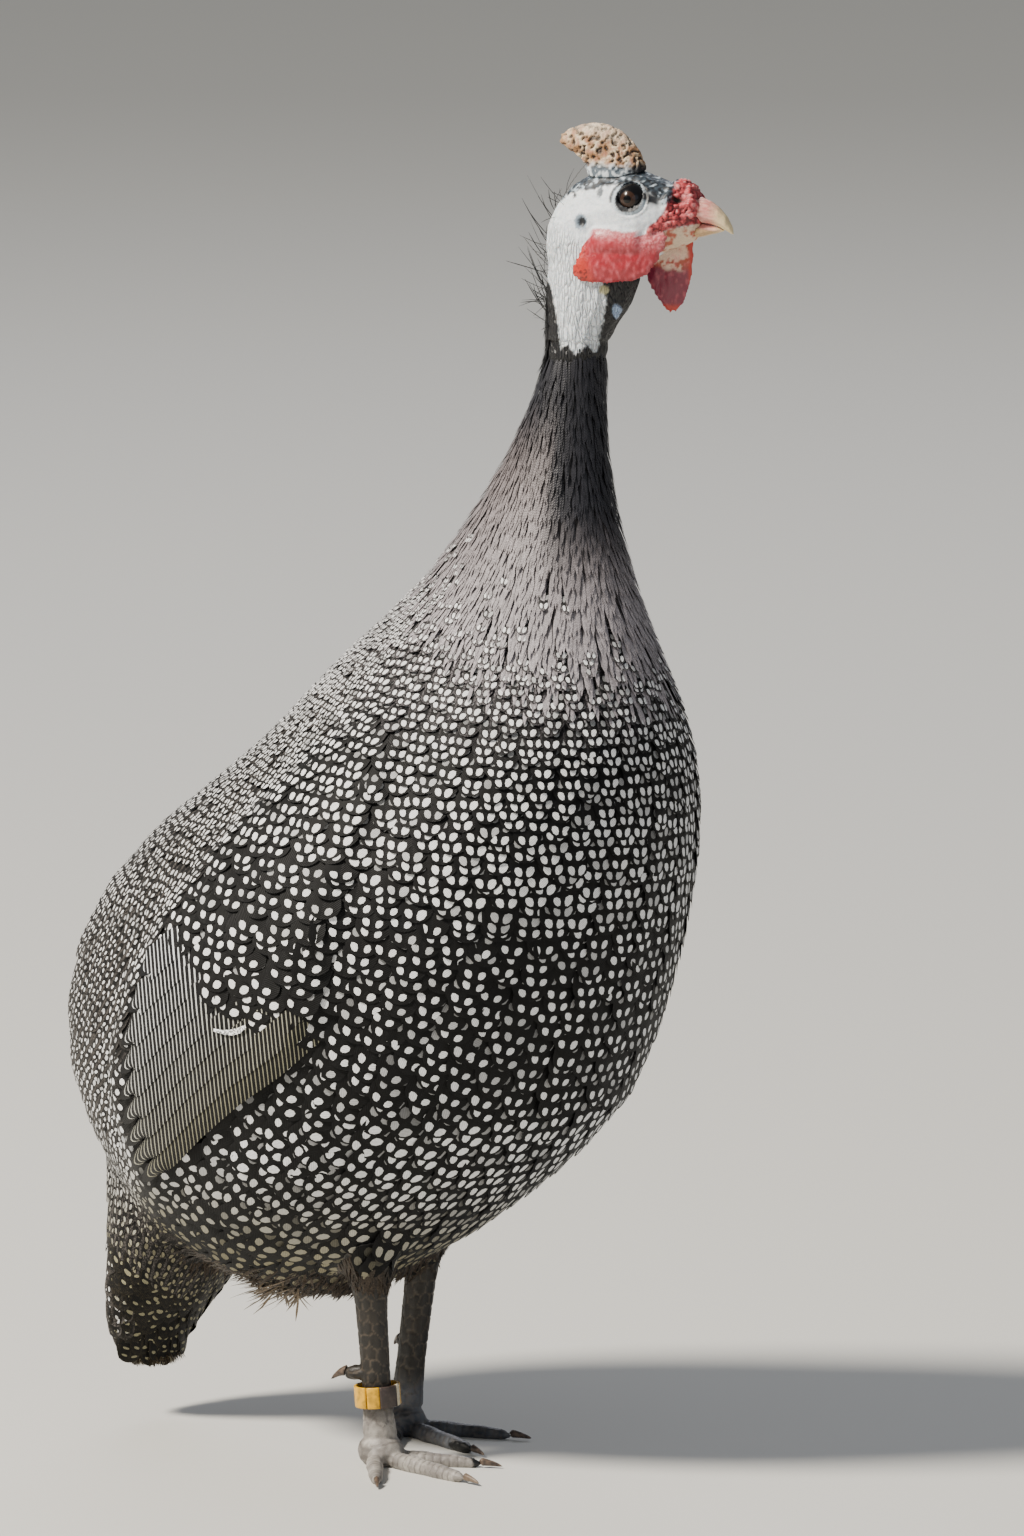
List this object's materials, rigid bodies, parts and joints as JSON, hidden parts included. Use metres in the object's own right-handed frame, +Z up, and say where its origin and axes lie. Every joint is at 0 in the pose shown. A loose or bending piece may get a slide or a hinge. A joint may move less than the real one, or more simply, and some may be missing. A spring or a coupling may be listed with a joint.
{
  "type": "guinea fowl",
  "caption": "Life-size still model of a helmeted guinea fowl standing alert on both feet, with spotted plumage, bare white face, horn helmet, red wattles and a leg ring.",
  "frame": {"origin": "floor point under the middle of the whole model", "axes": "+X the way the bird faces, +Y its left side, +Z up, floor at z = 0"},
  "size_m": [0.3074, 0.199, 0.5422],
  "materials": {
    "plumage": "soft matt feathers, black to slate with round white spots",
    "neck_plumage": "soft matt hair-like grey feathers",
    "bare_skin": "wrinkled satin white skin with a slate crown",
    "casque_horn": "rough pitted tan horn",
    "bill_horn": "smooth pink horn, yellowish at the tip",
    "wattle_skin": "finely crinkled satin red skin",
    "eye_glass": "clear wet gloss over a dark brown iris",
    "leg_scales": "horny scutes with paler edges",
    "claw_horn": "satin dark horn",
    "ring_band": "glossy yellow plastic",
    "ring_panel": "glossy dark brown plastic"
  },
  "bodies": {
    "root": {"trunk": "plumage", "wing_right": "plumage", "wing_left": "plumage", "wing_quills_right": "plumage", "wing_quills_left": "plumage", "tail": "plumage", "thigh_right": "plumage", "thigh_left": "plumage", "neck_upper": "neck_plumage", "neck_lower": "neck_plumage", "head": "bare_skin", "casque": "casque_horn", "bill_upper": "bill_horn", "bill_lower": "bill_horn", "wattle_right": "wattle_skin", "wattle_left": "wattle_skin", "eye_right": "eye_glass", "eye_left": "eye_glass", "shank_right": "leg_scales", "shank_left": "leg_scales", "foot_pad_right": "leg_scales", "foot_pad_left": "leg_scales", "toe_inner_right": "leg_scales", "toe_middle_right": "leg_scales", "toe_outer_right": "leg_scales", "toe_rear_right": "leg_scales", "toe_inner_left": "leg_scales", "toe_middle_left": "leg_scales", "toe_outer_left": "leg_scales", "toe_rear_left": "leg_scales", "claw_inner_right": "claw_horn", "claw_middle_right": "claw_horn", "claw_outer_right": "claw_horn", "claw_rear_right": "claw_horn", "claw_inner_left": "claw_horn", "claw_middle_left": "claw_horn", "claw_outer_left": "claw_horn", "claw_rear_left": "claw_horn", "leg_ring": "ring_band", "leg_ring_panel": "ring_panel"}
  },
  "joints": []
}
